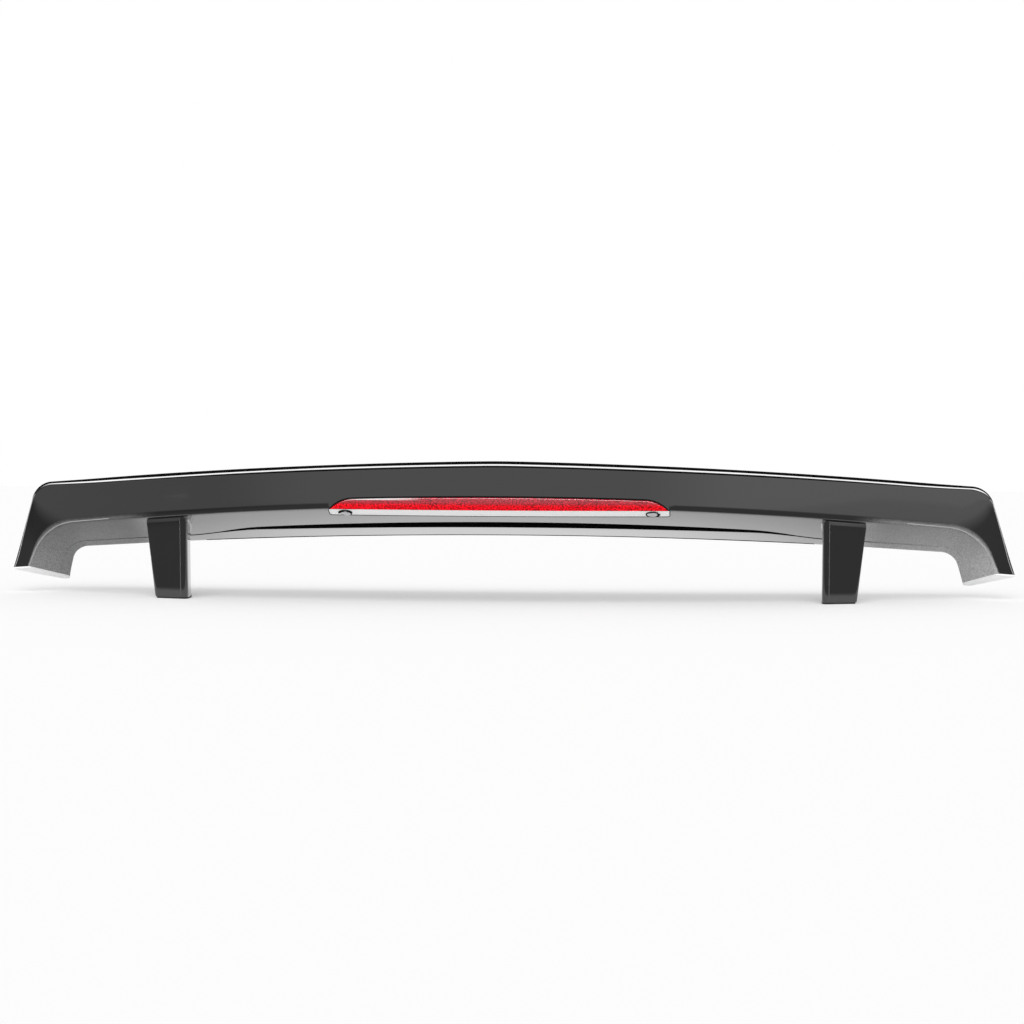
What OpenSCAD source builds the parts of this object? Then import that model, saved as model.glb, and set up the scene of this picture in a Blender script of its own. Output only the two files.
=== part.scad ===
// Rear deck spoiler for a car: a one-piece blow-moulded wing that turns down into a fin
// at each end, stands on two posts and carries a stop lamp in its rear edge.
// Seen from behind the car, +X is to the right, +Y is towards the front of the car, +Z is up.
// The origin is at the middle of the part, on the plane that the two posts stand on.

/* [Wing] */
// Width over the outer edges of the fin feet
span = 1406.5; // [1300:0.5:1500]
// Height of the top edge at the middle
top_z = 197; // [187:0.5:206]
// Drop of the top edge towards the ends that comes from the slight peak at the middle
peak_drop = 11.5; // [0:0.5:20]
// Drop of the top edge towards the ends that comes from its arch
arch_drop = 30; // [20:1:40]
// Height of the lower rear edge at the middle
edge_z = 133.2; // [126:0.2:138]
// Drop of the lower rear edge towards the ends
edge_drop = 44; // [34:1:52]
// Height of the underside at the nose, at the middle
nose_z = 86.5; // [78:0.5:94]
// Drop of the nose towards the ends
nose_drop = 29.5; // [20:0.5:36]
// Thickness of the nose, from its underside to the top surface
nose_h = 33; // [26:1:40]
// How far the round nose stands out in front of its underside line
nose_bulge = 15; // [8:1:20]
// Distance from the rear edge to the nose line at the middle
chord = 169.5; // [150:0.5:185]
// How far the rear edge runs forward from the middle to the ends
rear_sweep = 184.5; // [150:0.5:200]
// How far the nose line runs forward from the middle to the ends
nose_sweep = 70; // [55:0.5:100]
// Crown of the top surface above the straight line from rear edge to nose
top_crown = 7; // [3:0.5:10]
// Rounding of the top rear edge
edge_round = 12; // [6:0.5:14]
// The same rounding at the outer edge of the fin's foot
fin_round = 5.5; // [3:0.5:8]
// Rounding of the lower rear edge
lip_round = 2.5; // [1:0.5:4]

/* [Underside step] */
// Height of the step in the underside at the middle
step_h = 6.6; // [3:0.2:9]
// Height of the fine crease that the step runs out into
crease_h = 0.8; // [0.4:0.1:1.2]
// Half width of the step
step_half = 400; // [340:5:420]
// Place of the step at the middle, as a share of the way from rear edge to nose
step_at = 0.56; // [0.5:0.01:0.62]
// Place of the crease outside the posts, as the same share
crease_at = 0.79; // [0.72:0.01:0.88]

/* [Fins] */
// Width of the rear face of the fin at its foot
fin_w = 22.75; // [17:0.25:26]
// Height of the rear edge of the fin foot above the plane of the posts
fin_foot_z = 35.4; // [28:0.2:44]
// Fall of the fin foot towards the front, in millimetres for each millimetre
fin_fall = 0.25; // [0.1:0.01:0.32]
// How far the front inner corner of the fin foot lies inside its rear outer corner
fin_toe = 65.25; // [54:0.25:72]
// How far the fin's foot reaches ahead of the wing's nose line
fin_reach = 19; // [0:0.5:30]
// Thickness of the fin at the front of its foot
fin_front_w = 16; // [13:0.5:22]
// Lean of the outer side of the fin, in degrees
outer_lean = 17.8; // [12:0.2:20]
// Lean of the rear inner edge of the fin, in degrees
inner_lean = 24; // [20:0.5:28]
// Lean of the front edge of the fin, in degrees
front_lean = 17.5; // [13:0.5:21]
// Corner radius of the outer edge where the wing turns into the fin
outer_r = 25; // [16:1:36]
// Corner radius of the rear inner edge
inner_r = 70; // [50:1:80]
// Corner radius of the nose line
front_r = 30; // [16:1:36]
// Where the corners start, measured from the middle
corner_x = 540; // [510:5:560]

/* [Posts] */
// Half distance between the inner faces of the posts
post_in = 433.5; // [400:0.5:450]
// Width of the post at its foot
post_foot_w = 47; // [42:0.5:52]
// Width of the post where it meets the wing
post_top_w = 59.5; // [52:0.5:64]
// Distance of the post's rear face behind the wing's rear edge at the top
post_set_top = 10; // [7:0.5:14]
// The same distance at the foot
post_set_foot = 15.5; // [10:0.5:20]
// Depth of the post from its rear face to its nose
post_d = 96; // [86:1:104]
// Width of the post's nose
post_nose_w = 24; // [18:1:30]
// Rounding of the rear inner edge
post_in_r = 14; // [8:1:16]
// Rounding of the rear outer edge
post_out_r = 5; // [2:0.5:8]
// Fillet between the post and the underside
post_fillet = 2.5; // [1:0.5:5]

/* [Lamp] */
// Half width of the lamp opening at its lower edge
lamp_half = 229; // [200:1:240]
// Height of the lamp opening above the wing's lower rear edge
lamp_rise = 14.1; // [12:0.1:17]
// Height of the lens's lower edge
lens_z = 127.8; // [126.8:0.1:129]
// Radius of the shoulders at the ends of the opening
shoulder_r = 46; // [36:1:52]
// Width of the visible gasket around the lens
gasket_w = 1.8; // [1.2:0.1:2.4]
// Wall thickness of the lens
lens_t = 2.6; // [2:0.1:3.2]
// Wall thickness of the lamp housing
housing_t = 2.4; // [1.8:0.1:3]
// Depth of the lamp housing behind the rear face
housing_d = 28; // [26:0.5:32]
// Distance from each lamp screw to the end of the housing's tray
tray_inset = 16.5; // [14:0.5:24]
// Depth of the housing's flange under the wing
flange_d = 18.6; // [17:0.2:22]
// Rounding of the flange's front corners
flange_r = 4; // [2:0.5:6]
// Drop of the flange towards the front
flange_drop = 8.2; // [6.5:0.1:9]
// Clearance around the lamp in its pocket
lamp_gap = 0.3; // [0.2:0.05:0.5]
// Number of light-emitting diodes
led_count = 16; // [12:1:20]
// Radius of each diode
led_r = 2.4; // [2:0.1:2.5]
// Distance from each end of the lamp opening to the lamp screw
screw_inset = 22.5; // [19:0.5:27]
// Radius of the lamp screw's shank
screw_r = 2; // [1.5:0.1:2.2]
// Radius of the lamp screw's flat head
head_r = 7.3; // [5:0.1:7.5]
// Radius of the sealing washer under the head
washer_r = 8.4; // [8:0.1:8.7]
// Thickness of the sealing washer
washer_t = 1.8; // [1.5:0.1:2.4]

/* [Fastening] */
// Thickness of the pad under a post
post_pad_t = 2; // [1.5:0.25:3]
// Thickness of the pad under a fin
fin_pad_t = 1.4; // [1:0.2:3]
// Distance between the two threaded inserts in a post
insert_pitch = 50; // [46:1:54]
// Thread radius of the inserts in the posts
post_thread_r = 3; // [2.5:0.1:3.2]
// Thread radius of the inserts in the fins
fin_thread_r = 2.1; // [1.8:0.1:2.3]
// Radius of the wire duct
duct_r = 5; // [4:0.5:6]

/* [Hidden] */
$fn = 64;

half = span / 2;
// a height that clears the whole part, for cutters
over = 200;
// a height below the lamp, for cutters
under = 60;
// length over which the peak of the top edge is rounded
peak_round = 20;
// numbers of steps along the wing, the straight run to a corner, the corner and the fin
wing_n = 20;
run_n = 3;
bend_n = 9;
fin_n = 4;
end_n = run_n + bend_n + fin_n;
// numbers of steps around the section
face_n = 3;
round_n = 5;
top_n = 6;
nose_n = 8;

// small vector helpers
function unit(v) = v / norm(v);
function mix(a, b, t) = a + (b - a) * t;
function clip(v) = max(0, min(1, v));
function ease(t) = t * t * (3 - 2 * t);
function bend(a, b, c, n) = [for (i = [0 : n]) let (t = i / n)
    (1 - t) * (1 - t) * a + 2 * t * (1 - t) * b + t * t * c];
function straight(a, b, n) = [for (i = [1 : n - 1]) mix(a, b, i / n)];

// the wing's guide curves, all as functions of the distance x from the middle
function top_edge(x) = top_z - peak_drop * (sqrt(x * x + peak_round * peak_round) - peak_round) / half
    - arch_drop * pow(x / half, 2);
function low_edge(x) = edge_z - edge_drop * pow(x / half, 2);
function nose_line(x) = nose_z - nose_drop * pow(x / half, 2);
function rear_y(x) = rear_sweep * pow(x / half, 2);
function nose_y(x) = chord + nose_sweep * pow(x / half, 2);

// the underside of the wing between its rear edge and its nose
function under_z(x, y) = mix(low_edge(x), nose_line(x), (y - rear_y(x)) / (nose_y(x) - rear_y(x)));

// the plane of the fin's foot
function fin_plane(y) = fin_foot_z - fin_fall * (y - rear_sweep);

// corner points of the fin's foot: outer rear, inner rear, inner front, outer front
foot_in_x = half - fin_toe;
foot_in_y = nose_y(foot_in_x) + fin_reach;
foot_way = unit([foot_in_x - (half - fin_w), foot_in_y - rear_sweep]);
foot_out = [foot_in_x, foot_in_y] + fin_front_w * [foot_way[1], -foot_way[0]];
foot = [[half, rear_sweep, fin_plane(rear_sweep)],
    [half - fin_w, rear_sweep, fin_plane(rear_sweep)],
    [foot_in_x, foot_in_y, fin_plane(foot_in_y)],
    [foot_out[0], foot_out[1], fin_plane(foot_out[1])]];

// height and slope of each guide curve where the corners start
function start_z(k) = k == 0 ? top_edge(corner_x) : k == 1 ? low_edge(corner_x)
    : nose_line(corner_x) + (k == 3 ? nose_h : 0);
function start_dz(k) = (k == 0 ? -peak_drop / half - 2 * arch_drop * corner_x / half / half
    : -2 * (k == 1 ? edge_drop : nose_drop) * corner_x / half / half);
leans = [outer_lean, inner_lean, front_lean, front_lean];
radii = [outer_r, inner_r, front_r, outer_r];

// point j of guide curve k around its corner and down its fin, in the XZ plane
function corner_xz(k, j) = let (
    p = [corner_x, start_z(k)],
    q = [foot[k][0], foot[k][2]],
    d1 = unit([1, start_dz(k)]),
    d2 = [sin(leans[k]), -cos(leans[k])],
    cr = d1[0] * d2[1] - d1[1] * d2[0],
    s = ((q[0] - p[0]) * d2[1] - (q[1] - p[1]) * d2[0]) / cr,
    meet = p + s * d1,
    turn = acos(d1 * d2),
    cut = radii[k] * tan(turn / 2),
    t1 = meet - cut * d1,
    t2 = meet + cut * d2,
    mid = t1 + radii[k] * [d1[1], -d1[0]],
    a = (j - run_n) / bend_n * turn,
    arm = t1 - mid)
    j <= run_n ? mix(p, t1, j / run_n)
    : j < run_n + bend_n ? mid + [arm[0] * cos(a) + arm[1] * sin(a), arm[1] * cos(a) - arm[0] * sin(a)]
    : mix(t2, q, (j - run_n - bend_n) / fin_n);

// how far down its fin a point of guide curve k is, from 0 to 1
function fall(k, z) = clip((start_z(k) - z) / (start_z(k) - foot[k][2]));
function corner_y(k, x, z) = (k < 2 ? rear_y(x) : nose_y(x))
    + pow(fall(k, z), 2) * (foot[k][1] - (k < 2 ? rear_y(foot[k][0]) : nose_y(foot[k][0])));

// the four guide points of station i: top rear, low rear, nose underside, nose top
function rails(i) = i <= wing_n
    ? let (x = corner_x * i / wing_n) [[x, rear_y(x), top_edge(x)], [x, rear_y(x), low_edge(x)],
        [x, nose_y(x), nose_line(x)], [x, nose_y(x), nose_line(x) + nose_h]]
    : [for (k = [0 : 3]) let (p = corner_xz(k, i - wing_n)) [p[0], corner_y(k, p[0], p[1]), p[1]]];

// step in the underside and its place, by distance from the middle
function step_size(x) = crease_h
    + (x < step_half ? (step_h - crease_h) * pow(1 - pow(x / step_half, 2), 0.7) : 0);
function step_place(x) = mix(step_at, crease_at, ease(clip((x - step_half + 60) / 110)));

// the section at station i, as points in space
function section(i) = let (
    r = rails(i),
    e = clip((i - wing_n) / end_n),
    up = unit(r[0] - r[1]),
    back = unit(r[3] - r[0]),
    in = unit(r[2] - r[1]),
    ra = mix(edge_round, fin_round, e * e),
    rb = mix(lip_round, 1.5, e),
    bulge = mix(nose_bulge, 8, ease(e)),
    crown = mix(top_crown, 1.5, ease(e)),
    x = abs(r[0][0]),
    seat = mix(r[1], r[2], step_place(x)),
    step = max(step_size(x) * (1 - e), 0.4),
    c = (r[2] + r[3]) / 2,
    h = (r[3] - r[2]) / 2,
    a1 = r[0] - up * ra, a2 = r[0] + back * ra,
    b1 = r[1] + up * rb, b2 = r[1] + in * rb)
    concat(
        straight(b1, a1, face_n),
        bend(a1, r[0], a2, round_n),
        [for (m = [1 : top_n - 1]) let (t = m / top_n) mix(a2, r[3], t) + [0, 0, 1] * crown * 4 * t * (1 - t)
            * (1 - e) + [1, 0, 0] * crown * 4 * t * (1 - t) * e],
        [for (m = [0 : nose_n]) let (a = 180 * m / nose_n) c + h * cos(a) + in * bulge * sin(a)],
        straight(r[2], seat - up * step, 3),
        [seat - up * step - in * 0.6, seat - in * 0.9],
        straight(seat - in * 0.9, b2, 3),
        bend(b2, r[1], b1, 3));

function flip(p) = [-p[0], p[1], p[2]];
stations = wing_n + end_n;
rings = concat([for (i = [stations : -1 : 1]) [for (p = section(i)) flip(p)]],
    [for (i = [0 : stations]) section(i)]);

// shift along Y that puts the origin in the middle of the part's depth
mid_y = -(max([for (r = rings) for (p = r) p[1]]) + min([for (r = rings) for (p = r) p[1]])) / 2;

// a closed solid through a list of rings with the same number of points, its ends closed around their middles
function hub(loop) = [for (p = loop) 1] * loop / len(loop);
module loft(loops, turned = false) {
    n = len(loops[0]);
    m = len(loops);
    side = [for (i = [0 : m - 2]) for (j = [0 : n - 1]) let (k = (j + 1) % n)
        each [[i * n + j, i * n + k, (i + 1) * n + k], [i * n + j, (i + 1) * n + k, (i + 1) * n + j]]];
    ends = [for (j = [0 : n - 1]) let (k = (j + 1) % n) each [[m * n, k, j],
        [m * n + 1, (m - 1) * n + j, (m - 1) * n + k]]];
    faces = concat(side, ends);
    polyhedron(points = concat([for (r = loops) each r], [hub(loops[0]), hub(loops[m - 1])]),
        faces = turned ? [for (f = faces) [for (j = [len(f) - 1 : -1 : 0]) f[j]]] : faces);
}

// puts a shape that is drawn from the middle of the rear edge into the part's own frame
module placed() translate([0, mid_y, 0]) children();

// the post's outline at a level, as points [x, y], widened at its inner side and nose by grow
function post_loop(share, grow) = let (
    xi = post_in - grow,
    xo = post_in + mix(post_foot_w, post_top_w, share),
    set = mix(post_set_foot, post_set_top, share),
    ri = [xi, rear_y(xi) + set],
    ro = [xo, rear_y(xo) + set],
    yn = rear_y(post_in) + set + post_d - post_nose_w / 2 + grow / 2,
    xm = post_in + post_foot_w / 2 - 1,
    mi = [xi, ri[1] + post_d * 0.36],
    fi = [xm - post_nose_w / 2 - grow / 2, yn],
    fo = [xm + post_nose_w / 2, yn],
    w = unit(ro - ri))
    concat(
        bend(mi + [0, -8], mi, mi + unit(fi - mi) * 8, 3),
        [for (m = [0 : 8]) let (a = 180 - 180 * m / 8)
            [mix(fi[0], fo[0], 0.5), yn] + [(fo[0] - fi[0]) / 2 * cos(a), post_nose_w / 2 * sin(a)]],
        [mix(fo, ro, 0.5) + [3, 0]],
        bend(ro + unit(fo - ro) * post_out_r, ro, ro - w * post_out_r, 4),
        [ri + w * (post_in_r + 3)],
        bend(ri + w * post_in_r, ri, ri + [0, post_in_r], 6));

// levels of the post, as [depth below the underside, widening]
post_levels = [[-2.2 * post_fillet, 0], [-post_fillet, 0.14 * post_fillet],
    [-0.4 * post_fillet, 0.45 * post_fillet], [0, post_fillet], [14, post_fillet]];
function post_rings() = concat([[for (p = post_loop(0, 0)) [p[0], p[1], post_pad_t]]],
    [for (l = post_levels) [for (p = post_loop(1, l[1])) [p[0], p[1], under_z(p[0], p[1]) + l[0]]]]);

module post(side) {
    loops = [for (r = post_rings()) [for (p = r) side > 0 ? p : flip(p)]];
    loft(loops, turned = side < 0);
}

// half distance between the lamp screws, and half width of the tray between them
screw_half = lamp_half - screw_inset;
tray_half = screw_half - tray_inset;

// the lamp follows the rear edge, whose plan is near enough to an arc of this radius
lamp_r = pow(half, 2) / (2 * rear_sweep);
lamp_turn = asin((lamp_half + 6) / lamp_r);
function lamp_top(x) = low_edge(x) + lamp_rise;
shoulder_x = lamp_half - sqrt(pow(shoulder_r, 2) - pow(shoulder_r - (lamp_top(lamp_half - 35) - lens_z), 2));
shoulder_z = lamp_top(shoulder_x) - shoulder_r;

// sweeps a profile, drawn as [distance in front of the rear face, height], along the rear edge
module along(profile) {
    translate([0, lamp_r, 0]) rotate([0, 0, -90 - lamp_turn])
        rotate_extrude(angle = 2 * lamp_turn, $fn = 720)
            polygon([for (p = profile) [lamp_r - p[0], p[1]]]);
}

// a prism with the lamp's outline, pulled in by a distance, open downwards
function lamp_outline(inset) = let (r = shoulder_r - inset,
    last = 90 - acos(clip((lens_z - shoulder_z) / r)),
    right = concat([for (m = [0 : 6]) let (x = shoulder_x * m / 6) [x, lamp_top(x) - inset]],
        [for (m = [1 : 8]) let (a = mix(90, last, m / 8)) [shoulder_x + r * cos(a), shoulder_z + r * sin(a)]],
        [[shoulder_x + r * cos(last), lens_z - 40]]))
    concat(right, [for (j = [len(right) - 1 : -1 : 1]) [-right[j][0], right[j][1]]]);
module lamp_prism(inset) {
    translate([0, 120, 0]) rotate([90, 0, 0]) linear_extrude(height = 140) polygon(lamp_outline(inset));
}
module between(x) translate([-x, -20, 0]) cube([2 * x, 140, over]);

// height of the flange's outer face at a distance behind the rear face
function flange_z(v) = lens_z - flange_drop * v / flange_d;
flange_t = housing_t + 0.6;
// the profile under the flange's inner face, which the wing's pocket leaves free
function under_flange(gap) = [[-6, under], [-6, flange_z(-6) + flange_t + gap],
    [flange_d + 4, flange_z(flange_d + 4) + flange_t + gap + 2], [flange_d + 4, under]];

// upright prism that rounds the flange's two front corners
module flange_plan() {
    y = rear_y(lamp_half) + flange_d - flange_r;
    between(lamp_half - lamp_gap - flange_r);
    translate([-lamp_half, -20, 0]) cube([2 * lamp_half, y + 20, over]);
    for (side = [-1, 1])
        translate([side * (lamp_half - lamp_gap - flange_r), y, 0])
            cylinder(r = flange_r, h = over);
}

// a frame on the flange at one lamp screw, with -Z pointing out of the flange
flange_tilt = atan(flange_drop / flange_d);
screw_v = flange_d / 2 - 0.4;
// depth of the washer's seat in the flange
seat_t = 0.5;
// height of the screw's flat head
head_t = 0.8;
module at_screw(side) {
    a = asin(screw_half / lamp_r);
    translate([0, lamp_r, 0]) rotate([0, 0, side * a]) translate([0, screw_v - lamp_r, flange_z(screw_v)])
        rotate([-flange_tilt, 0, 0]) children();
}

// places behind the wing's rear face: of the lens, of the tray's front, of the gasket's two faces
lens_v = 0.5;
tray_v = lens_v + lens_t + 0.9;
gasket_v = 0.9;
seal_v = tray_v + 0.6;
// width of the lens's rim
lens_rim = 1.9;

// places along the rear edge for the diodes
led_half = tray_half - 14;
module at_led(i) {
    x = mix(-led_half, led_half, i / (led_count - 1));
    translate([0, lamp_r, 0]) rotate([0, 0, asin(x / lamp_r)]) translate([0, -lamp_r, 0]) children();
}
board_t = 1.6;
board_v = housing_d - housing_t - board_t - 0.1;
board_z = lens_z + 1.2;
board_h = lamp_top(tray_half) - gasket_w - lamp_gap - housing_t - board_z - 0.9;
led_z = board_z + board_h / 2;
// front edge of the reflector
mouth_v = tray_v + 2.6;
// height of the tray's underside and of its floor
tray_z = lens_z - 0.8;
floor_z = tray_z + 1;

// one light-emitting diode, lying along Y with its dome towards the rear
module diode(r, l) {
    rotate([90, 0, 0]) cylinder(r = r, h = l - r);
    translate([0, r - l, 0]) sphere(r = r);
}

// threaded inserts: places in the posts and in the fins
insert_x = post_in + post_foot_w / 2 - 1;
insert_y = rear_y(post_in) + post_set_foot + 23;
insert_l = 16;
insert_r = post_thread_r + 2.2;
fin_insert_l = 11;
fin_insert_r = fin_thread_r + 1.9;
fin_mid = (foot[0] + foot[1] + foot[2] + foot[3]) / 4;
fin_insert_x = fin_mid[0] - 1.2;
fin_insert_y = fin_mid[1];
fin_insert_z = fin_plane(fin_insert_y + fin_insert_r) + 2.2;

// the wire duct runs from the lamp pocket to the right post and down to its foot
duct_x = insert_x;
duct_y = insert_y + insert_pitch / 2;
duct_top = [duct_x, duct_y, under_z(duct_x, duct_y) + 20];
duct_start = [tray_half - 40, rear_y(tray_half - 40) + housing_d - 4, lens_z + 8];
grommet_r = duct_r + 3;
grommet_t = 6;

// a round rod from one point to another
module rod(a, b, r) {
    d = b - a;
    translate(a) rotate([0, acos(d[2] / norm(d)), atan2(d[1], d[0])]) cylinder(r = r, h = norm(d));
}

// an insert with a blind threaded hole that opens downwards
module insert(r, thread, l) {
    difference() {
        union() {
            cylinder(r = r, h = l);
            cylinder(r = r + 1.3, h = 1.4);
        }
        translate([0, 0, -1]) cylinder(r = thread, h = l - 1);
    }
}
module insert_hole(r, l, below) {
    translate([0, 0, -below]) cylinder(r = r + 1.3 + 0.15, h = 1.4 + below + 0.15);
    cylinder(r = r + 0.05, h = l + 0.3);
}

module post_inserts(side) {
    for (k = [0, 1]) translate([side * insert_x, insert_y + k * insert_pitch, post_pad_t + 0.4])
        insert(insert_r, post_thread_r, insert_l);
}
module fin_insert(side) {
    translate([side * fin_insert_x, fin_insert_y, fin_insert_z])
        insert(fin_insert_r, fin_thread_r, fin_insert_l);
}

// everything that the lamp needs room for in the wing
module lamp_pocket() {
    intersection() {
        along([[-6, under], [-6, over], [seal_v, over], [seal_v, under]]);
        lamp_prism(0);
    }
    intersection() {
        along(under_flange(lamp_gap));
        lamp_prism(0);
    }
    intersection() {
        along([[-6, under], [-6, over], [housing_d + lamp_gap, over], [housing_d + lamp_gap, under]]);
        lamp_prism(gasket_w);
        between(tray_half + lamp_gap);
    }
    for (side = [-1, 1]) at_screw(side) cylinder(r = screw_r + 2.4 + 0.05, h = 18.5);
}

module spoiler_body() color([0.045, 0.045, 0.05]) placed() difference() {
    union() {
        loft(rings);
        for (side = [-1, 1]) post(side);
    }
    lamp_pocket();
    rod(duct_start, duct_top, duct_r);
    translate([duct_x, duct_y, 0]) cylinder(r = duct_r + 0.5, h = duct_top[2] + duct_r + 1);
    translate([duct_x, duct_y, 0]) cylinder(r = grommet_r + 0.05, h = post_pad_t + grommet_t);
    for (side = [-1, 1]) {
        for (k = [0, 1]) translate([side * insert_x, insert_y + k * insert_pitch, post_pad_t + 0.4])
            insert_hole(insert_r, insert_l, 2);
        translate([side * fin_insert_x, fin_insert_y, fin_insert_z])
            insert_hole(fin_insert_r, fin_insert_l, 12);
    }
}

// red lens: a thin face with a rim that slides over the tray
module lamp_lens() color([0.75, 0.03, 0.05]) placed() difference() {
    intersection() {
        along([[lens_v, lens_z + lamp_gap], [lens_v, over], [tray_v, over], [tray_v, lens_z + lamp_gap]]);
        lamp_prism(gasket_w + 0.1);
    }
    intersection() {
        along([[lens_v + lens_t, under], [lens_v + lens_t, over], [tray_v + 16, over], [tray_v + 16, under]]);
        lamp_prism(gasket_w + lens_rim);
    }
}

module lamp_gasket() color([0.02, 0.02, 0.02]) placed() difference() {
    intersection() {
        along([[gasket_v, lens_z + lamp_gap], [gasket_v, over], [seal_v, over], [seal_v, lens_z + lamp_gap]]);
        lamp_prism(0.1);
    }
    lamp_prism(gasket_w);
}

// white housing: a flange under the wing, with the tray that holds the lamp's inside
module lamp_housing() color([0.9, 0.89, 0.88]) placed() difference() {
    union() {
        intersection() {
            along([[0, lens_z], [0.9, lens_z], [flange_d, flange_z(flange_d) + flange_t],
                [flange_d + 2, flange_z(flange_d) + flange_t], [flange_d + 2, flange_z(flange_d) + 1.6],
                [flange_d, flange_z(flange_d)]]);
            lamp_prism(lamp_gap);
            flange_plan();
        }
        intersection() {
            along([[tray_v, flange_z(tray_v) + 1], [tray_v, over], [housing_d, over],
                [housing_d, tray_z], [flange_d + 1, flange_z(flange_d) + 2]]);
            lamp_prism(gasket_w + lamp_gap);
            between(tray_half);
        }
    }
    intersection() {
        along([[-1, floor_z], [-1, over], [housing_d - housing_t, over], [housing_d - housing_t, floor_z]]);
        lamp_prism(gasket_w + lamp_gap + housing_t);
        between(tray_half - housing_t);
    }
    for (side = [-1, 1]) at_screw(side) {
        translate([0, 0, -8]) cylinder(r = washer_r + 0.2, h = 8 + seat_t);
        translate([0, 0, -2]) cylinder(r = screw_r + 0.3, h = 12);
    }
    rod(duct_start - [0, 12, 0], duct_start + [0, 12, 0], duct_r - 1.5);
}

// bright trough with a hole for each diode
module lamp_reflector() color([0.8, 0.8, 0.82]) placed() difference() {
    intersection() {
        along([[mouth_v, floor_z], [board_v - 6, floor_z], [board_v, board_z + 1.2],
            [board_v, board_z + board_h - 1.2],
            [board_v - 6, board_z + board_h + 0.6], [mouth_v, board_z + board_h + 0.6],
            [mouth_v, board_z + board_h - 0.4], [board_v - 6.4, board_z + board_h - 0.4],
            [board_v - 1.2, board_z + board_h - 1.8], [board_v - 1.2, board_z + 1.8],
            [board_v - 6.4, floor_z + 1], [mouth_v, floor_z + 1]]);
        between(tray_half - housing_t - 0.6);
    }
    for (i = [0 : led_count - 1]) at_led(i) translate([0, board_v + 1, led_z]) rotate([90, 0, 0])
        cylinder(r = led_r + 0.3, h = 8);
}

module led_board() color([0.05, 0.35, 0.2]) placed() intersection() {
    along([[board_v, board_z], [board_v, board_z + board_h], [board_v + board_t, board_z + board_h],
        [board_v + board_t, board_z]]);
    between(tray_half - housing_t - 1);
}

module leds() color([0.85, 0.2, 0.2]) placed() for (i = [0 : led_count - 1])
    at_led(i) translate([0, board_v, led_z]) diode(led_r, 7);

// flat-head screw that holds the lamp's flange up against the wing
module lamp_screw(side) color([0.85, 0.85, 0.86]) placed() at_screw(side)
    translate([0, 0, seat_t - washer_t]) difference() {
        union() {
            translate([0, 0, -head_t]) cylinder(r1 = head_r - 0.5, r2 = head_r, h = head_t);
            cylinder(r = screw_r, h = 17);
        }
        for (a = [0, 90]) rotate([0, 0, a]) cube([1.1, 5, 1.2], center = true);
    }

// black rubber washer that seals the screw's hole
module lamp_washer(side) color([0.02, 0.02, 0.02]) placed() at_screw(side)
    translate([0, 0, seat_t - washer_t]) difference() {
        cylinder(r = washer_r, h = washer_t);
        translate([0, 0, -1]) cylinder(r = screw_r + 0.3, h = washer_t + 2);
    }

// nylon anchor in the wing that the lamp screw bites into
module screw_anchor(side) color([0.85, 0.85, 0.8]) placed() at_screw(side) difference() {
    translate([0, 0, flange_t + 0.5]) cylinder(r = screw_r + 2.4, h = 14.5);
    cylinder(r = screw_r + 0.02, h = 30);
}

module wire_grommet() color([0.03, 0.03, 0.03]) placed() translate([duct_x, duct_y, post_pad_t + 0.2])
    difference() {
        cylinder(r = grommet_r, h = grommet_t - 0.4);
        translate([0, 0, -1]) cylinder(r = duct_r - 2, h = grommet_t + 2);
    }

module post_pad(side) color([0.03, 0.03, 0.03]) placed() difference() {
    linear_extrude(height = post_pad_t) polygon([for (p = post_loop(0, 0))
        let (c = [insert_x, insert_y + insert_pitch / 2]) [side * (c[0] + (p[0] - c[0]) * 0.98),
            c[1] + (p[1] - c[1]) * 0.99]]);
    for (k = [0, 1]) translate([side * insert_x, insert_y + k * insert_pitch, -1])
        cylinder(r = insert_r + 1.4, h = 9);
    if (side > 0) translate([duct_x, duct_y, -1]) cylinder(r = grommet_r - 1, h = 9);
}

// pale foam pad under a fin, a little smaller than the fin's foot
module fin_pad(side) color([0.9, 0.9, 0.9]) placed() difference() {
    translate(fin_mid_of(side)) rotate([-atan(fin_fall), 0, 0]) translate([0, 0, -fin_pad_t])
        linear_extrude(height = fin_pad_t) polygon([for (p = section(stations))
            [side * (p[0] - fin_mid[0]) * 0.9, (p[1] - fin_mid[1]) * 0.94 / cos(atan(fin_fall))]]);
    translate([side * fin_insert_x, fin_insert_y, 0]) cylinder(r = fin_insert_r + 1.8, h = under);
}
function fin_mid_of(side) = [side * fin_mid[0], fin_mid[1], fin_plane(fin_mid[1])];

spoiler_body();
lamp_lens();
lamp_gasket();
lamp_housing();
lamp_reflector();
led_board();
leds();
lamp_screw(-1);  // lamp_screw_left
lamp_screw(1);  // lamp_screw_right
lamp_washer(-1);  // lamp_washer_left
lamp_washer(1);  // lamp_washer_right
screw_anchor(-1);  // screw_anchor_left
screw_anchor(1);  // screw_anchor_right
wire_grommet();
color([0.72, 0.58, 0.3]) placed() post_inserts(-1);  // post_inserts_left
color([0.72, 0.58, 0.3]) placed() post_inserts(1);  // post_inserts_right
color([0.72, 0.58, 0.3]) placed() fin_insert(-1);  // fin_insert_left
color([0.72, 0.58, 0.3]) placed() fin_insert(1);  // fin_insert_right
post_pad(-1);  // post_pad_left
post_pad(1);  // post_pad_right
fin_pad(-1);  // fin_pad_left
fin_pad(1);  // fin_pad_right
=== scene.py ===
# %% [markdown]
# A gloss-black rear spoiler for a car stands on a white studio floor. The measured solids come first:
# they are loaded as a fixed frame, and every piece below is either one of them with a finish on it, or a
# finer shape that is put in its place. All lengths here are in metres, +X is to the right of the
# picture, +Y leads away from the camera and +Z is up.

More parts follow.
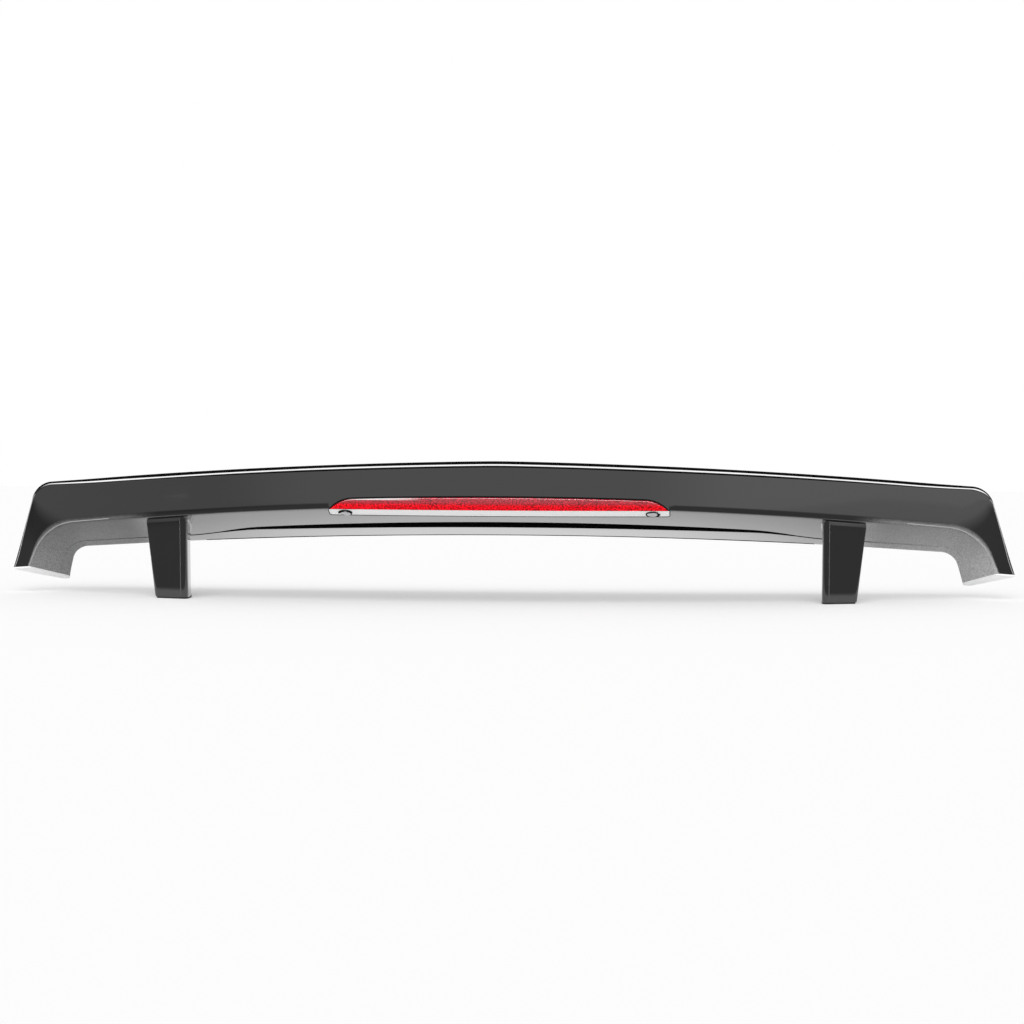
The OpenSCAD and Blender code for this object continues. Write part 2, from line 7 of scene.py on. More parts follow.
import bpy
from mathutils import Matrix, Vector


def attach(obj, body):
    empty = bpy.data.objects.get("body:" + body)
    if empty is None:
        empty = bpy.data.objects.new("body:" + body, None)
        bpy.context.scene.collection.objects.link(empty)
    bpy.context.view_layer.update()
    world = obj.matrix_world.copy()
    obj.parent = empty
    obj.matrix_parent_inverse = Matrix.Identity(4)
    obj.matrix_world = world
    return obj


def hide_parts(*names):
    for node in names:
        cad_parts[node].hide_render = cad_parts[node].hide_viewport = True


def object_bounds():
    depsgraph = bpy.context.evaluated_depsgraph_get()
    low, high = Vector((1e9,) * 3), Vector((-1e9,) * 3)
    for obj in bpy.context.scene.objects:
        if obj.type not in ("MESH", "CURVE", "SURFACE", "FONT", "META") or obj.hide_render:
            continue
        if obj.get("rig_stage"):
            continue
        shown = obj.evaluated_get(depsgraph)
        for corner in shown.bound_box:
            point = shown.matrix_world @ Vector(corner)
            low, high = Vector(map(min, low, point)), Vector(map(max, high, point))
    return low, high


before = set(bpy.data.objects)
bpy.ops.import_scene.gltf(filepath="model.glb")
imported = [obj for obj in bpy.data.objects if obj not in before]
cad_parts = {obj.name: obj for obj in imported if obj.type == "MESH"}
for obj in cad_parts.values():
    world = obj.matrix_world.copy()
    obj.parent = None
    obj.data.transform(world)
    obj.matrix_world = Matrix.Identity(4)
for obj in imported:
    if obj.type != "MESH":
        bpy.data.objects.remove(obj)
low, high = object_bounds()
print("frame box in mm:", [round(1000 * v, 1) for v in low], [round(1000 * v, 1) for v in high])

# %% Tools and the unit of length
import math

import bmesh
import bpy
import numpy as np
from mathutils import Matrix, Vector

MM = 0.001
print("one millimetre is", MM, "m here")

# %% [markdown]
# The wing is one moulding whose outline is set by four lines that run from end to end: the top edge, the
# lower rear edge, the underside of the nose and the top of the nose. Each is a gentle parabola over the
# car's width, and each turns its own corner and comes down the fin with its own lean. Writing these four
# lines down as functions lets the same rule give a coarse or a fine mesh, so the gloss surface can be
# made much finer than the solid without leaving it.

# %% Guide lines of the wing, in millimetres from the middle of the rear edge
HALF = 703.25
CORNER_X = 540.0
REAR_SWEEP = 184.5
NOSE_SWEEP = 70.0
CHORD = 169.5
NOSE_H = 33.0
MID_Y = low.y / MM
RUN, BEND, FALL = 3, 9, 4
END = RUN + BEND + FALL
WING = 20


def mix(a, b, t):
    return a + (b - a) * t


def clip(v):
    return max(0.0, min(1.0, v))


def ease(t):
    return t * t * (3 - 2 * t)


def unit(v):
    return v / np.linalg.norm(v)


def top_edge(x):
    return 197 - 11.5 * (math.sqrt(x * x + 400) - 20) / HALF - 30 * (x / HALF) ** 2


def low_edge(x):
    return 133.2 - 44 * (x / HALF) ** 2


def nose_line(x):
    return 86.5 - 29.5 * (x / HALF) ** 2


def rear_y(x):
    return REAR_SWEEP * (x / HALF) ** 2


def nose_y(x):
    return CHORD + NOSE_SWEEP * (x / HALF) ** 2


def under_z(x, y):
    return mix(low_edge(x), nose_line(x), (y - rear_y(x)) / (nose_y(x) - rear_y(x)))


print("top edge at the middle and at the corner:", top_edge(0), round(top_edge(CORNER_X), 1))

# %% The fin's foot and the four corners
FIN_W, FIN_TOE, FIN_REACH, FIN_FRONT = 27.0, 65.25, 19.0, 16.0


def fin_plane(y):
    return 35.4 - 0.25 * (y - REAR_SWEEP)


foot_x = HALF - FIN_TOE
foot_y = nose_y(foot_x) + FIN_REACH
way = unit(np.array([foot_x - (HALF - FIN_W), foot_y - REAR_SWEEP]))
toe = np.array([foot_x, foot_y]) + FIN_FRONT * np.array([way[1], -way[0]])
FOOT = [(HALF, REAR_SWEEP), (HALF - FIN_W, rear_y(HALF - FIN_W) + 5), (foot_x, foot_y), tuple(toe)]
LEAN = [math.radians(v) for v in (17.8, 24, 17.5, 17.5)]
RADIUS = [31.0, 80.0, 30.0, 31.0]


def start_z(k):
    if k == 0:
        return top_edge(CORNER_X)
    if k == 1:
        return low_edge(CORNER_X)
    return nose_line(CORNER_X) + (NOSE_H if k == 3 else 0)


def start_slope(k):
    if k == 0:
        return -11.5 / HALF - 60 * CORNER_X / HALF**2
    return -2 * (44 if k == 1 else 29.5) * CORNER_X / HALF**2


def corner_xz(k, j):
    """Point j of guide line k: straight on, round its corner, then straight down the fin."""
    p = np.array([CORNER_X, start_z(k)])
    q = np.array([FOOT[k][0], fin_plane(FOOT[k][1])])
    d1 = unit(np.array([1, start_slope(k)]))
    d2 = np.array([math.sin(LEAN[k]), -math.cos(LEAN[k])])
    s = ((q[0] - p[0]) * d2[1] - (q[1] - p[1]) * d2[0]) / (d1[0] * d2[1] - d1[1] * d2[0])
    meet = p + s * d1
    turn = math.acos(float(d1 @ d2))
    cut = RADIUS[k] * math.tan(turn / 2)
    t1, t2 = meet - cut * d1, meet + cut * d2
    if j <= RUN:
        return mix(p, t1, j / RUN)
    if j >= RUN + BEND:
        return mix(t2, q, (j - RUN - BEND) / FALL)
    mid = t1 + RADIUS[k] * np.array([d1[1], -d1[0]])
    a = (j - RUN) / BEND * turn
    arm = t1 - mid
    return mid + np.array([arm[0] * math.cos(a) + arm[1] * math.sin(a), arm[1] * math.cos(a) - arm[0] * math.sin(a)])


def corner_y(k, x, z):
    run = rear_y if k < 2 else nose_y
    gone = clip((start_z(k) - z) / (start_z(k) - fin_plane(FOOT[k][1])))
    return run(x) + gone**2 * (FOOT[k][1] - run(FOOT[k][0]))


def rails(i):
    """The four guide points at station i: top rear, low rear, nose underside, nose top."""
    if i <= WING:
        x = CORNER_X * i / WING
        return [np.array(p) for p in ((x, rear_y(x), top_edge(x)), (x, rear_y(x), low_edge(x)),
                                      (x, nose_y(x), nose_line(x)), (x, nose_y(x), nose_line(x) + NOSE_H))]
    out = []
    for k in range(4):
        x, z = corner_xz(k, i - WING)
        out.append(np.array([x, corner_y(k, x, z), z]))
    return out


print("outer corner of the fin's foot:", np.round(rails(WING + END)[0], 1))

# %% [markdown]
# Between the four lines lies the section: a flat rear face, a rounded top edge, a slightly crowned top, a
# full nose, and an underside with a step in it. The step is deep in the middle and runs out into a fine
# crease in front of the posts. Behind it, where the stop lamp sits, the section opens into a pocket. The
# pocket takes the same number of points as the small round lip that the rest of the edge has, so one
# grid of quads runs through both, and no cut has to be made in the gloss surface, which would show.

# %% The lamp's opening
LAMP_HALF, LAMP_RISE, LENS_Z, SHOULDER_R = 229.0, 14.1, 127.8, 46.0
LAMP_R = HALF**2 / (2 * REAR_SWEEP)
FLANGE_D, FLANGE_DROP, FLANGE_T = 18.6, 8.2, 3.0
POCKET_D = 4.6


def lamp_top(x):
    return low_edge(x) + LAMP_RISE


shoulder_x = LAMP_HALF - math.sqrt(SHOULDER_R**2 - (SHOULDER_R - (lamp_top(LAMP_HALF - 35) - LENS_Z)) ** 2)
shoulder_z = lamp_top(shoulder_x) - SHOULDER_R


def opening_z(x, inset=0.0):
    """Height of the opening's upper outline at a distance x from the middle."""
    x = abs(x)
    if x <= shoulder_x:
        return lamp_top(x) - inset
    r = SHOULDER_R - inset
    return shoulder_z + math.sqrt(max(r * r - (x - shoulder_x) ** 2, 0))


def flange_roof(v):
    return LENS_Z - FLANGE_DROP * v / FLANGE_D + FLANGE_T + 0.3


opening_end = shoulder_x + math.sqrt(SHOULDER_R**2 - (LENS_Z - shoulder_z) ** 2)
print("the lamp's shoulders start at", round(shoulder_x, 1), "and the opening ends at", round(opening_end, 1))

# %% The section at a station
FACE_N, ROUND_N, TOP_N, NOSE_N, UNDER_N, REAR_N, LIP_N = 8, 14, 14, 26, 8, 12, 7


def straight(a, b, n):
    return [mix(a, b, k / n) for k in range(1, n)]


def bend(a, b, c, n):
    return [(1 - t) ** 2 * a + 2 * t * (1 - t) * b + t * t * c for t in (k / n for k in range(n + 1))]


def step_size(x):
    return 0.6 + (3.2 * (1 - (x / 400) ** 2) ** 0.7 if x < 400 else 0)


def step_place(x):
    return mix(0.62, 0.79, ease(clip((x - 340) / 110)))


def section(i):
    r = rails(i)
    e = clip((i - WING) / END)
    up, back, into = unit(r[0] - r[1]), unit(r[3] - r[0]), unit(r[2] - r[1])
    top_round = mix(12, 3.6, e * e)
    lip = mix(2.5, 1.5, e)
    bulge, crown = mix(15, 8, ease(e)), mix(7, 1.5, ease(e))
    x = abs(r[0][0])
    seat = mix(r[1], r[2], step_place(x))
    step = max(step_size(x) * (1 - e), 0.4)
    c, h = (r[2] + r[3]) / 2, (r[3] - r[2]) / 2
    a1, a2 = r[0] - up * top_round, r[0] + back * top_round
    b1, b2 = r[1] + up * lip, r[1] + into * lip
    in_lamp = x < opening_end - 1.2
    if in_lamp:
        roof = opening_z(x)
        start = np.array([x, rear_y(x), roof])
        yf = rear_y(x) + FLANGE_D + 4

        def inner(v):
            y = rear_y(x) + v
            return np.array([x, y, max(under_z(x, y), flange_roof(v) + (2 if v > FLANGE_D else 0))])
        end = np.array([x, yf, under_z(x, yf)])
        lips = [end, inner(FLANGE_D + 4), inner(14), inner(9), inner(POCKET_D),
                np.array([x, rear_y(x) + POCKET_D, roof]), start]
    else:
        start, end = b1, b2
        lips = bend(b2, r[1], b1, LIP_N - 1)
    face = straight(start, a1, FACE_N)
    set_low, set_high = start[1] - rear_y(start[0]), a1[1] - rear_y(a1[0])
    for k, p in enumerate(face):
        p[1] = rear_y(p[0]) + mix(set_low, set_high, (k + 1) / FACE_N)
    points = face + bend(a1, r[0], a2, ROUND_N)
    for k in range(1, TOP_N):
        t = k / TOP_N
        rise = crown * 4 * t * (1 - t)
        points.append(mix(a2, r[3], t) + np.array([rise * e, 0, rise * (1 - e)]))
    for k in range(NOSE_N + 1):
        a = math.pi * k / NOSE_N
        points.append(c + h * math.cos(a) + into * bulge * math.sin(a))
    points += [mix(r[2], seat - up * step, 0.07)] + straight(r[2], seat - up * step, UNDER_N)
    points += [seat - up * step, seat - up * step - into * 0.6, seat - into * 0.9]
    points += straight(seat - into * 0.9, end, REAR_N) + lips
    return points


def satin_share(k, x):
    """How matt the paint is at point k of a section: only under the wing's ends and inside the fins."""
    first = FACE_N + ROUND_N + TOP_N + NOSE_N - 6
    return ease(clip((k - first) / 5)) * ease(clip((x - 470) / 60))


stations = [WING * x / CORNER_X for x in np.linspace(0, opening_end - 1.3, 36)]
stations += [WING * x / CORNER_X for x in np.linspace(opening_end - 1.1, CORNER_X, 48)]
stations += [WING + j for j in np.arange(1, 4 * END + 1) / 4]
sections = [section(i) for i in stations]
print(len(sections), "stations a side with", len(sections[0]), "points each")

# %% [markdown]
# The skin itself: the sections are joined by quads, the left half mirrors the right one, and the two feet
# are closed. Doubles are merged, because the pocket's points meet where the pocket runs out, and the
# normals are then turned outwards.


# %% Join the sections into the wing
def smooth_by_angle(obj, degrees):
    """Smooth shading that keeps edges sharper than the angle."""
    for face in obj.data.polygons:
        face.use_smooth = True
    mesh = bmesh.new()
    mesh.from_mesh(obj.data)
    limit = math.radians(degrees)
    for edge in mesh.edges:
        if len(edge.link_faces) == 2:
            edge.smooth = edge.calc_face_angle(0) < limit
    mesh.to_mesh(obj.data)
    mesh.free()


def make_object(name, verts, faces, recalc=True):
    data = bpy.data.meshes.new(name)
    data.from_pydata([tuple(v) for v in verts], [], faces)
    mesh = bmesh.new()
    mesh.from_mesh(data)
    if recalc:
        bmesh.ops.recalc_face_normals(mesh, faces=mesh.faces)
    mesh.to_mesh(data)
    mesh.free()
    obj = bpy.data.objects.new(name, data)
    bpy.context.scene.collection.objects.link(obj)
    return obj


def loft(loops):
    """Vertices and faces of a closed solid through loops with the same number of points."""
    n = len(loops[0])
    verts = [p for loop in loops for p in loop]
    faces = [(a * n + j, a * n + (j + 1) % n, (a + 1) * n + (j + 1) % n, (a + 1) * n + j)
             for a in range(len(loops) - 1) for j in range(n)]
    faces += [tuple(range(n - 1, -1, -1)), tuple((len(loops) - 1) * n + j for j in range(n))]
    return verts, faces


def placed(p):
    """From millimetres at the rear edge's middle to metres in the part's frame."""
    return (p[0] * MM, (p[1] + MID_Y) * MM, p[2] * MM)


flipped = [[(-p[0], p[1], p[2]) for p in s] for s in sections[:0:-1]]
wing_loops = [[placed(p) for p in s] for s in flipped + [[tuple(p) for p in s] for s in sections]]
verts, faces = loft(wing_loops)
wing = make_object("spoiler_wing", verts, faces)
matt = wing.data.attributes.new("satin", "FLOAT", "POINT")
matt.data.foreach_set("value", [satin_share(k, abs(p[0]) / MM) for loop in wing_loops for k, p in enumerate(loop)])
ring_n = len(wing_loops[0])
nose_end = FACE_N - 1 + ROUND_N + 1 + TOP_N - 1 + NOSE_N
step_at = nose_end + 1 + UNDER_N
# Painted shade: the step's riser, and in the middle the lowest faces of the nose, lose all their gloss and render
# black. On the fins, the outer round and the inner lip lose up to three quarters of it below 150 mm, which draws dark
# bands there.
painted_shade_level = wing.data.attributes.new("painted_shade_level", "FLOAT", "FACE")
for face in wing.data.polygons:
    ring, k = divmod(face.index, ring_n)
    if ring < len(wing_loops) - 1:
        painted_shade_mask = step_at <= k <= step_at + 1 or (nose_end - 2 <= k <= nose_end and abs(face.center.x) < 0.43)
        out, down = abs(face.center.x), clip((0.150 - face.center.z) / 0.02)
        fin_edge_shade = out > 0.62 and (FACE_N - 1 <= k < FACE_N - 1 + ROUND_N or ring_n - LIP_N <= k < ring_n - 1)
        painted_shade_level.data[face.index].value = 1.0 if painted_shade_mask else 0.75 * down if fin_edge_shade else 0.0
mesh = bmesh.new()
mesh.from_mesh(wing.data)
bmesh.ops.remove_doubles(mesh, verts=mesh.verts, dist=2e-6)
bmesh.ops.dissolve_degenerate(mesh, edges=mesh.edges, dist=2e-6)
bmesh.ops.recalc_face_normals(mesh, faces=mesh.faces)
mesh.to_mesh(wing.data)
mesh.free()
smooth_by_angle(wing, 32)
print("wing:", len(wing.data.vertices), "vertices,", len(wing.data.polygons), "faces")

# %% [markdown]
# Each post is drawn out of the wing's underside: a long rounded plan, wider at the top, with a larger
# round on its inner rear edge and a small one on its outer rear edge, and a fillet where it meets the
# wing. It reaches a little into the wing, so the joint is closed from every side.

# %% The two posts
POST_IN, POST_FOOT, POST_TOP, POST_D, POST_NOSE = 433.5, 48.5, 61.0, 96.0, 24.0
POST_IN_R, POST_OUT_R, FILLET, PAD_T = 10.0, 5.0, 2.5, 2.0


def post_loop(share, grow):
    xi = POST_IN - grow
    xo = POST_IN + mix(POST_FOOT, POST_TOP, share)
    back_off = mix(15.5, 10, share)
    ri = np.array([xi, rear_y(xi) + back_off])
    ro = np.array([xo, rear_y(xo) + back_off])
    yn = rear_y(POST_IN) + back_off + POST_D - POST_NOSE / 2 + grow / 2
    xm = POST_IN + POST_FOOT / 2 - 1
    mi = np.array([xi + 1.0, ri[1] + POST_D * 0.36])
    fi = np.array([xm - POST_NOSE / 2 - grow / 2, yn])
    fo = np.array([xm + POST_NOSE / 2, yn])
    w = unit(ro - ri)
    loop = bend(mi + np.array([0, -8]), mi, mi + unit(fi - mi) * 8, 8)
    loop += straight(loop[-1], fi, 4)
    for k in range(25):
        a = math.pi - math.pi * k / 24
        loop.append(np.array([(fi[0] + fo[0]) / 2 + (fo[0] - fi[0]) / 2 * math.cos(a), yn + POST_NOSE / 2 * math.sin(a)]))
    loop += bend(fo, mix(fo, ro, 0.5) + np.array([5, 0]), ro + unit(fo - ro) * POST_OUT_R, 10)[1:-1]
    loop += bend(ro + unit(fo - ro) * POST_OUT_R, ro, ro - w * POST_OUT_R, 10)
    loop += straight(loop[-1], ri + w * POST_IN_R, 6)
    loop += bend(ri + w * POST_IN_R, ri, ri + np.array([0, POST_IN_R]), 16)
    return loop


def post_rings():
    rings = [[(p[0], p[1], PAD_T) for p in post_loop(0, 0)]]
    foot, neck = post_loop(0, 0), post_loop(1, 0)
    for level in np.linspace(0, 1, 9)[1:-1]:
        rings.append([(*mix(a, b, level), mix(PAD_T, under_z(b[0], b[1]) - 2.2 * FILLET, level)) for a, b in zip(foot, neck)])
    for k in range(9):
        a = math.pi / 2 * k / 8
        drop, grow = 2.2 * FILLET * (1 - math.sin(a)), FILLET * (1 - math.cos(a))
        rings.append([(p[0], p[1], under_z(p[0], p[1]) - drop) for p in post_loop(1, grow)])
    rings.append([(p[0], p[1], under_z(p[0], p[1]) + 14) for p in post_loop(1, FILLET)])
    return rings


posts = []
for side, name in ((-1, "post_left"), (1, "post_right")):
    rings = [[placed((side * p[0], p[1], p[2])) for p in ring] for ring in post_rings()]
    verts, faces = loft(rings)
    posts.append(make_object(name, verts, faces))
    smooth_by_angle(posts[-1], 40)
print("posts:", [len(p.data.polygons) for p in posts], "faces")

# %% [markdown]
# The paint is deep gloss black under a clear coat. Its colour is almost nothing; what the eye sees is
# what the coat mirrors. So the shader has a near-black base with a clear, slightly stronger coat over it,
# and the studio around it does the drawing.


# %% Helpers for node trees, and the gloss black paint
def calc(tree, kind, *values):
    """One Math node; each value is a number or a socket."""
    node = tree.nodes.new("ShaderNodeMath")
    node.operation = kind
    for place, value in enumerate(values):
        if isinstance(value, (int, float)):
            node.inputs[place].default_value = value
        else:
            tree.links.new(value, node.inputs[place])
    return node.outputs[0]


def new_material(name, colour, roughness, **extra):
    """A Principled material; extra names are its sockets with spaces written as underscores."""
    m = bpy.data.materials.new(name)
    m.use_nodes = True
    shader = m.node_tree.nodes["Principled BSDF"]
    shader.inputs["Base Color"].default_value = (*colour, 1)
    shader.inputs["Roughness"].default_value = roughness
    for socket, value in extra.items():
        shader.inputs[socket.replace("_", " ")].default_value = value
    return m


def shader_of(material):
    return material.node_tree.nodes["Principled BSDF"]


def add_bump(material, scale, strength, distance, detail=2.0):
    """A fine uneven surface from noise on Object coordinates."""
    tree = material.node_tree
    place = tree.nodes.new("ShaderNodeTexCoord")
    noise = tree.nodes.new("ShaderNodeTexNoise")
    noise.inputs["Scale"].default_value = scale
    noise.inputs["Detail"].default_value = detail
    bump = tree.nodes.new("ShaderNodeBump")
    bump.inputs["Strength"].default_value = strength
    bump.inputs["Distance"].default_value = distance
    tree.links.new(place.outputs["Object"], noise.inputs["Vector"])
    tree.links.new(noise.outputs["Fac"], bump.inputs["Height"])
    tree.links.new(bump.outputs["Normal"], shader_of(material).inputs["Normal"])


gloss_black = new_material("gloss_black", (0.004, 0.004, 0.0045), 0.05, Coat_Weight=1.0, Coat_Roughness=0.03,
                           Coat_IOR=1.6)
tree = gloss_black.node_tree
share = tree.nodes.new("ShaderNodeAttribute")
share.attribute_name = "satin"
place = tree.nodes.new("ShaderNodeTexCoord")
dots = tree.nodes.new("ShaderNodeTexNoise")
dots.inputs["Scale"].default_value = 700
dots.inputs["Detail"].default_value = 1
tree.links.new(place.outputs["Object"], dots.inputs["Vector"])
axes = tree.nodes.new("ShaderNodeSeparateXYZ")
tree.links.new(place.outputs["Object"], axes.inputs[0])
# Painted light: the matt grey under the wing's ends and inside the fins is made lighter toward the floor, from 0.7
# times at 115 mm up to 2.6 times at 50 mm.
painted_floor_light = tree.nodes.new("ShaderNodeMapRange")
for label, value in (("From Min", 0.115), ("From Max", 0.05), ("To Min", 0.7), ("To Max", 2.6)):
    painted_floor_light.inputs[label].default_value = value
tree.links.new(axes.outputs["Z"], painted_floor_light.inputs["Value"])
speckle = calc(tree, "MULTIPLY_ADD", dots.outputs["Fac"], 0.3, -0.02)
# Painted light: the same grey is 0.95 times on the left and up to 1.6 times on the right, as if lit from the right.
painted_right_light = tree.nodes.new("ShaderNodeMapRange")
for label, value in (("From Min", -0.3), ("From Max", 0.3), ("To Min", 0.95), ("To Max", 1.6)):
    painted_right_light.inputs[label].default_value = value
tree.links.new(axes.outputs["X"], painted_right_light.inputs["Value"])
speckle = calc(tree, "MULTIPLY", speckle, painted_right_light.outputs[0])
satin_grey_with_painted_light = calc(tree, "MULTIPLY", calc(tree, "MULTIPLY", speckle, painted_floor_light.outputs[0]), share.outputs["Fac"])
tint = tree.nodes.new("ShaderNodeCombineColor")
for name in ("Red", "Green", "Blue"):
    tree.links.new(calc(tree, "ADD", satin_grey_with_painted_light, 0.004), tint.inputs[name])
tree.links.new(tint.outputs[0], shader_of(gloss_black).inputs["Base Color"])
tree.links.new(calc(tree, "MULTIPLY_ADD", share.outputs["Fac"], 0.35, 0.05), shader_of(gloss_black).inputs["Roughness"])
# Painted shade: where the painted shade level is set, the clear coat and the specular are taken off.
painted_shade_mask = tree.nodes.new("ShaderNodeAttribute")
painted_shade_mask.attribute_name = "painted_shade_level"
gloss_outside_shade = calc(tree, "SUBTRACT", 1.0, painted_shade_mask.outputs["Fac"])
tree.links.new(calc(tree, "MULTIPLY", calc(tree, "SUBTRACT", 1.0, share.outputs["Fac"]), gloss_outside_shade),
               shader_of(gloss_black).inputs["Coat Weight"])
tree.links.new(calc(tree, "MULTIPLY", gloss_outside_shade, 0.5), shader_of(gloss_black).inputs["Specular IOR Level"])
for obj in [wing] + posts:
    obj.data.materials.append(gloss_black)
print("paint:", gloss_black.name)

# %% One moulding: the wing and its posts become a single piece
with bpy.context.temp_override(active_object=wing, object=wing, selected_objects=[wing] + posts,
                               selected_editable_objects=[wing] + posts):
    bpy.ops.object.join()
wing.name = "spoiler_skin"
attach(wing, "root")
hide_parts("spoiler_body")
print("skin:", len(wing.data.polygons), "faces")

# %% [markdown]
# The lens is a red cover that follows the rear edge: flat at the bottom, with a small round along its top
# and a shoulder at each end. Its shape is a rule, so Geometry Nodes make it: a flat grid, whose columns
# are places along the edge and whose rows run around the cover's section, is bent into place by a few
# sums. The sizes stay named inputs of the tree.


# %% A Geometry Nodes tree with named inputs
def new_tree(name, **sizes):
    tree = bpy.data.node_groups.new(name, "GeometryNodeTree")
    for label, value in sizes.items():
        kind = "NodeSocketInt" if isinstance(value, int) else "NodeSocketFloat"
        item = tree.interface.new_socket(label.replace("_", " "), in_out="INPUT", socket_type=kind)
        item.default_value = value
    tree.interface.new_socket("Geometry", in_out="OUTPUT", socket_type="NodeSocketGeometry")
    return tree, tree.nodes.new("NodeGroupInput"), tree.nodes.new("NodeGroupOutput")


def close_tree(tree, geometry, material, out):
    """Every tree ends the same way: instances become real, then get their material."""
    real = tree.nodes.new("GeometryNodeRealizeInstances")
    paint = tree.nodes.new("GeometryNodeSetMaterial")
    paint.inputs["Material"].default_value = material
    tree.links.new(geometry, real.inputs[0])
    tree.links.new(real.outputs[0], paint.inputs["Geometry"])
    tree.links.new(paint.outputs[0], out.inputs[0])


def mesh_from_tree(name, tree, **sizes):
    """Runs the tree on an empty mesh and keeps the result as a plain mesh object."""
    data = bpy.data.meshes.new(name + "_seed")
    seed = bpy.data.objects.new(name + "_seed", data)
    bpy.context.scene.collection.objects.link(seed)
    modifier = seed.modifiers.new("shape", "NODES")
    modifier.node_group = tree
    for item in tree.interface.items_tree:
        label = item.name.replace(" ", "_")
        if item.in_out == "INPUT" and label in sizes:
            modifier[item.identifier] = sizes[label]
    bpy.context.view_layer.update()
    shape = seed.evaluated_get(bpy.context.evaluated_depsgraph_get())
    result = bpy.data.meshes.new_from_object(shape)
    result.name = name
    seed.modifiers.clear()
    bpy.data.objects.remove(seed)
    obj = bpy.data.objects.new(name, result)
    bpy.context.scene.collection.objects.link(obj)
    return obj


def link_in(tree, node, **values):
    """Fills a node's inputs by name, from sockets or plain values."""
    for label, value in values.items():
        socket = node.inputs[label.replace("_", " ")]
        if isinstance(value, bpy.types.NodeSocket):
            tree.links.new(value, socket)
        else:
            socket.default_value = value


# %% [markdown]
# The red of the lens isn't even. Behind the clear red cover stands a band of fine prisms that is lighter
# below and deeper above, and the grains of the prisms show as small light and dark spots. The colour
# therefore follows the height above the lens's lower edge, and a fine noise breaks it up.

# %% Red of the lens
lens_red = new_material("lens_red", (0.5, 0.004, 0.012), 0.12, Coat_Weight=1.0, Coat_Roughness=0.02)
tree = lens_red.node_tree
place = tree.nodes.new("ShaderNodeTexCoord")
axes = tree.nodes.new("ShaderNodeSeparateXYZ")
tree.links.new(place.outputs["Object"], axes.inputs[0])
height = calc(tree, "DIVIDE", calc(tree, "SUBTRACT", axes.outputs["Z"], LENS_Z * MM), 0.016)
ramp = tree.nodes.new("ShaderNodeValToRGB")
tree.links.new(height, ramp.inputs[0])
stops = ramp.color_ramp.elements
stops[0].position, stops[0].color = 0.0, (0.74, 0.004, 0.012, 1)
stops[1].position, stops[1].color = 1.0, (0.40, 0.012, 0.03, 1)
middle = stops.new(0.42)
middle.color = (0.70, 0.004, 0.012, 1)
upper = stops.new(0.54)
upper.color = (0.42, 0.008, 0.02, 1)
grain = tree.nodes.new("ShaderNodeTexNoise")
grain.inputs["Scale"].default_value = 560
grain.inputs["Detail"].default_value = 1
tree.links.new(place.outputs["Object"], grain.inputs["Vector"])


def ranged(tree, value, start, end, low_value, high_value):
    """A value carried from one range to another, held at both ends."""
    node = tree.nodes.new("ShaderNodeMapRange")
    for label, amount in (("From Min", start), ("From Max", end), ("To Min", low_value), ("To Max", high_value)):
        node.inputs[label].default_value = amount
    tree.links.new(value, node.inputs["Value"])
    return node.outputs[0]


shade = ranged(tree, grain.outputs["Fac"], 0.34, 0.66, 0.4, 1.75)
blend = tree.nodes.new("ShaderNodeMix")
blend.data_type, blend.blend_type = "RGBA", "MULTIPLY"
blend.inputs["Factor"].default_value = 1.0
tree.links.new(ramp.outputs["Color"], blend.inputs["A"])
tree.links.new(shade, blend.inputs["B"])
# Painted highlight: near its top edge, from 0.228 to 0.10 m left of the middle, the lens colour turns near white.
painted_rim_highlight = calc(tree, "MULTIPLY", ranged(tree, height, 0.78, 0.9, 0.0, 1.0),
             calc(tree, "MULTIPLY", ranged(tree, axes.outputs["X"], -0.228, -0.215, 0.0, 1.0),
                  ranged(tree, axes.outputs["X"], -0.15, -0.10, 1.0, 0.0)))
rim_highlight_mix = tree.nodes.new("ShaderNodeMix")
rim_highlight_mix.data_type = "RGBA"
rim_highlight_mix.inputs["B"].default_value = (0.95, 0.93, 0.93, 1)
tree.links.new(painted_rim_highlight, rim_highlight_mix.inputs["Factor"])
tree.links.new(blend.outputs["Result"], rim_highlight_mix.inputs["A"])
tree.links.new(rim_highlight_mix.outputs["Result"], shader_of(lens_red).inputs["Base Color"])
tree.links.new(ranged(tree, height, 0.35, 0.65, 0.1, 0.6), shader_of(lens_red).inputs["Specular IOR Level"])
tree.links.new(ranged(tree, height, 0.5, 0.9, 0.0, 1.0), shader_of(lens_red).inputs["Coat Weight"])
print("lens colour follows the height over", round(LENS_Z, 1), "mm")

# %% The lens cover
lens_tree, given, result = new_tree("lens_cover", Half_width=0.2264, Lower_edge=0.12812, Rise=0.0122, Shoulder_start=0.2,
                                    Shoulder_height=0.1, Shoulder_radius=0.044, Arc_radius=1.33, Setback=0.0005,
                                    Depth=0.0035, Edge_round=0.0018, Shift=-0.129, Columns=300, Rows=28)
g = given.outputs
sheet = lens_tree.nodes.new("GeometryNodeMeshGrid")
link_in(lens_tree, sheet, Size_X=calc(lens_tree, "MULTIPLY", g["Half width"], 2.0), Size_Y=1.0,
        Vertices_X=g["Columns"], Vertices_Y=g["Rows"])
spot = lens_tree.nodes.new("ShaderNodeSeparateXYZ")
where = lens_tree.nodes.new("GeometryNodeInputPosition")
lens_tree.links.new(where.outputs[0], spot.inputs[0])
along_x = spot.outputs["X"]
share = calc(lens_tree, "ADD", spot.outputs["Y"], 0.5)
away = calc(lens_tree, "ABSOLUTE", along_x)
sag = calc(lens_tree, "MULTIPLY", calc(lens_tree, "POWER", away, 2.0), -44 * MM / (HALF * MM) ** 2)
flat_top = calc(lens_tree, "ADD", calc(lens_tree, "ADD", sag, 0.1332), g["Rise"])
